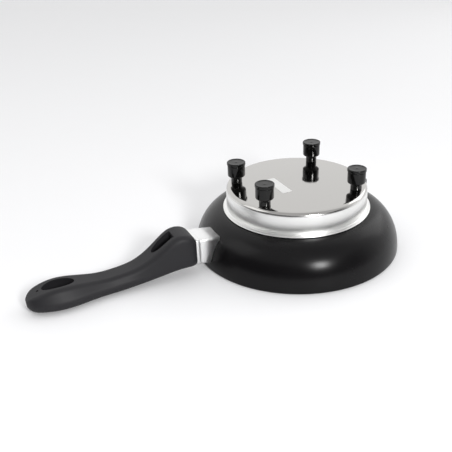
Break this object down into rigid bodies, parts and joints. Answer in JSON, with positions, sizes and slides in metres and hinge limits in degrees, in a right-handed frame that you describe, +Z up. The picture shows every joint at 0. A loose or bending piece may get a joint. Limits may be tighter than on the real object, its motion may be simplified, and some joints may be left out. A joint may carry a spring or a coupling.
{
  "type": "electric frying pan",
  "caption": "Small round electric frying pan stored upside down, with a drawn steel heater base on short feet and a moulded handle on a steel ferrule.",
  "frame": {"origin": "on the pan's axis, in the plane of the rim that it rests on", "axes": "+Z up with the pan upside down as pictured, towards the feet; -X along the handle; +X towards the appliance inlet"},
  "size_m": [0.3679, 0.2, 0.0854],
  "materials": {
    "pan_coating": "satin black coating",
    "polished_steel": "mirror polished steel",
    "label": "plain strip",
    "bright_ferrule": "bright sheet steel",
    "grip_plastic": "matte moulded",
    "foot_plastic": "glossy moulded",
    "inlet_plastic": "moulded",
    "inner_moulding": "heat resistant moulding",
    "screw_steel": "plated steel",
    "sheath_steel": "heat tinted sheath",
    "brass": "plain",
    "ceramic": "unglazed ceramic",
    "reflector": "rolled sheet",
    "cap_aluminium": "drawn",
    "bimetal": "rolled spring strip",
    "silver": "contact silver",
    "lead_sleeve": "glass braid sleeve",
    "lead_sleeve_pale": "glass braid sleeve",
    "lead_sleeve_green": "glass braid sleeve"
  },
  "bodies": {
    "root": {"arm_terminal": "brass", "base_cup": "polished_steel", "base_studs": "screw_steel", "bimetal_disc": "bimetal", "blank_label": "label", "clip_screws": "screw_steel", "contact_terminal": "brass", "earth_lead": "lead_sleeve_green", "earth_pin": "brass", "earth_screw": "screw_steel", "earth_tag": "brass", "element_beads": "ceramic", "element_lead": "lead_sleeve", "element_terminals": "screw_steel", "fixed_contact": "silver", "foot_handle_side_left": "foot_plastic", "foot_handle_side_right": "foot_plastic", "foot_inlet_side_left": "foot_plastic", "foot_inlet_side_right": "foot_plastic", "foot_inserts": "brass", "handle_ferrule": "bright_ferrule", "handle_grip": "grip_plastic", "handle_screw": "screw_steel", "handle_washer": "screw_steel", "heating_element": "sheath_steel", "inlet_body": "inlet_plastic", "inlet_retainer": "screw_steel", "line_lead": "lead_sleeve", "line_pin": "brass", "neutral_lead": "lead_sleeve_pale", "neutral_pin": "brass", "pan_body": "pan_coating", "reflector_plate": "reflector", "reflector_screw": "screw_steel", "switched_lead": "lead_sleeve", "thermal_fuse": "cap_aluminium", "thermostat_body": "inner_moulding", "thermostat_cap": "cap_aluminium", "thermostat_clip": "reflector", "thermostat_guide": "ceramic"},
    "contact_arm": {"contact_arm": "bimetal", "moving_contact": "silver"},
    "thermostat_pin": {"thermostat_pin": "ceramic"}
  },
  "joints": [
    {"name": "arm_lift", "type": "hinge", "parent": "root", "child": "contact_arm", "pos_m": [0.0056, -0.022, 0.054], "axis": [0, 1, 0], "range_deg": [0, 4.1]},
    {"name": "pin_travel", "type": "slide", "parent": "root", "child": "thermostat_pin", "axis": [0, 0, 1], "range_m": [0, 0.00038]}
  ],
  "couplings": [
    {"joint": "arm_lift", "follows": "pin_travel", "rad_per_m": 185}
  ]
}
